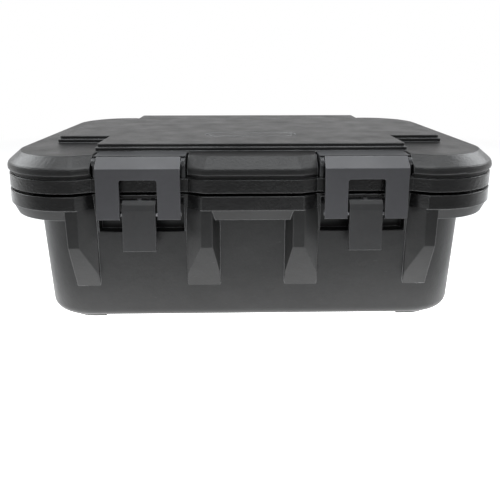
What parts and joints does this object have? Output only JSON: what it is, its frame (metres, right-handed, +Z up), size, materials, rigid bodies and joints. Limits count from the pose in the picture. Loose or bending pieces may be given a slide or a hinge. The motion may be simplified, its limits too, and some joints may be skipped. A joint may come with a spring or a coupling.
{
  "type": "insulated food carrier",
  "caption": "Top-loading foam-filled carrier for a full-size food pan, with draw latches front and rear that also hinge the lid.",
  "frame": {"origin": "middle of the floor plane under the feet", "axes": "+X along the long side to the right, +Y towards the rear, +Z up; the front latches face -Y"},
  "size_m": [0.63, 0.43, 0.227],
  "materials": {
    "shell": "black rotomoulded polyethylene, fine mould texture",
    "foam": "foamed-in polyurethane",
    "plug": "moulded cap",
    "gasket": "soft dark rubber",
    "bracket": "nylon, satin",
    "bail": "nylon, satin",
    "lever": "nylon, satin",
    "pin": "stainless steel rod",
    "foot": "matt, scuffed"
  },
  "bodies": {
    "base": {"base_shell": "shell", "base_foam_core": "foam", "base_fill_plug": "plug", "front_left_foot": "foot", "front_right_foot": "foot", "rear_left_foot": "foot", "rear_right_foot": "foot"},
    "rear_pins": {"rear_left_bail_pin": "pin", "rear_right_bail_pin": "pin"},
    "lid": {"lid_shell": "shell", "lid_foam_core": "foam", "lid_fill_plug": "plug", "lid_gasket": "gasket", "front_left_hinge_bracket": "bracket", "front_right_hinge_bracket": "bracket", "rear_left_hinge_bracket": "bracket", "rear_right_hinge_bracket": "bracket", "front_left_bail_pin": "pin", "front_right_bail_pin": "pin"},
    "front_left_bail": {"front_left_bail": "bail", "front_left_lever_pin": "pin"},
    "front_left_lever": {"front_left_lever": "lever"},
    "front_right_bail": {"front_right_bail": "bail", "front_right_lever_pin": "pin"},
    "front_right_lever": {"front_right_lever": "lever"},
    "rear_left_bail": {"rear_left_bail": "bail", "rear_left_lever_pin": "pin"},
    "rear_left_lever": {"rear_left_lever": "lever"},
    "rear_right_bail": {"rear_right_bail": "bail", "rear_right_lever_pin": "pin"},
    "rear_right_lever": {"rear_right_lever": "lever"}
  },
  "joints": [
    {"name": "lid_lift", "type": "slide", "parent": "base", "child": "rear_pins", "axis": [0, 0, 1], "range_m": [0, 0.08]},
    {"name": "lid_swing", "type": "hinge", "parent": "rear_pins", "child": "lid", "pos_m": [0, 0.202, 0.211], "axis": [-1, 0, 0], "range_deg": [0, 90]},
    {"name": "front_left_bail_swing", "type": "hinge", "parent": "lid", "child": "front_left_bail", "pos_m": [-0.135, -0.202, 0.211], "axis": [-1, 0, 0], "range_deg": [0, 120]},
    {"name": "front_left_lever_swing", "type": "hinge", "parent": "front_left_bail", "child": "front_left_lever", "pos_m": [-0.135, -0.21, 0.149], "axis": [-1, 0, 0], "range_deg": [0, 80]},
    {"name": "front_right_bail_swing", "type": "hinge", "parent": "lid", "child": "front_right_bail", "pos_m": [0.135, -0.202, 0.211], "axis": [-1, 0, 0], "range_deg": [0, 120]},
    {"name": "front_right_lever_swing", "type": "hinge", "parent": "front_right_bail", "child": "front_right_lever", "pos_m": [0.135, -0.21, 0.149], "axis": [-1, 0, 0], "range_deg": [0, 80]},
    {"name": "rear_left_bail_swing", "type": "hinge", "parent": "rear_pins", "child": "rear_left_bail", "pos_m": [-0.135, 0.202, 0.211], "axis": [1, 0, 0], "range_deg": [0, 30]},
    {"name": "rear_left_lever_swing", "type": "hinge", "parent": "rear_left_bail", "child": "rear_left_lever", "pos_m": [-0.135, 0.21, 0.149], "axis": [1, 0, 0], "range_deg": [0, 80]},
    {"name": "rear_right_bail_swing", "type": "hinge", "parent": "rear_pins", "child": "rear_right_bail", "pos_m": [0.135, 0.202, 0.211], "axis": [1, 0, 0], "range_deg": [0, 30]},
    {"name": "rear_right_lever_swing", "type": "hinge", "parent": "rear_right_bail", "child": "rear_right_lever", "pos_m": [0.135, 0.21, 0.149], "axis": [1, 0, 0], "range_deg": [0, 80]}
  ]
}
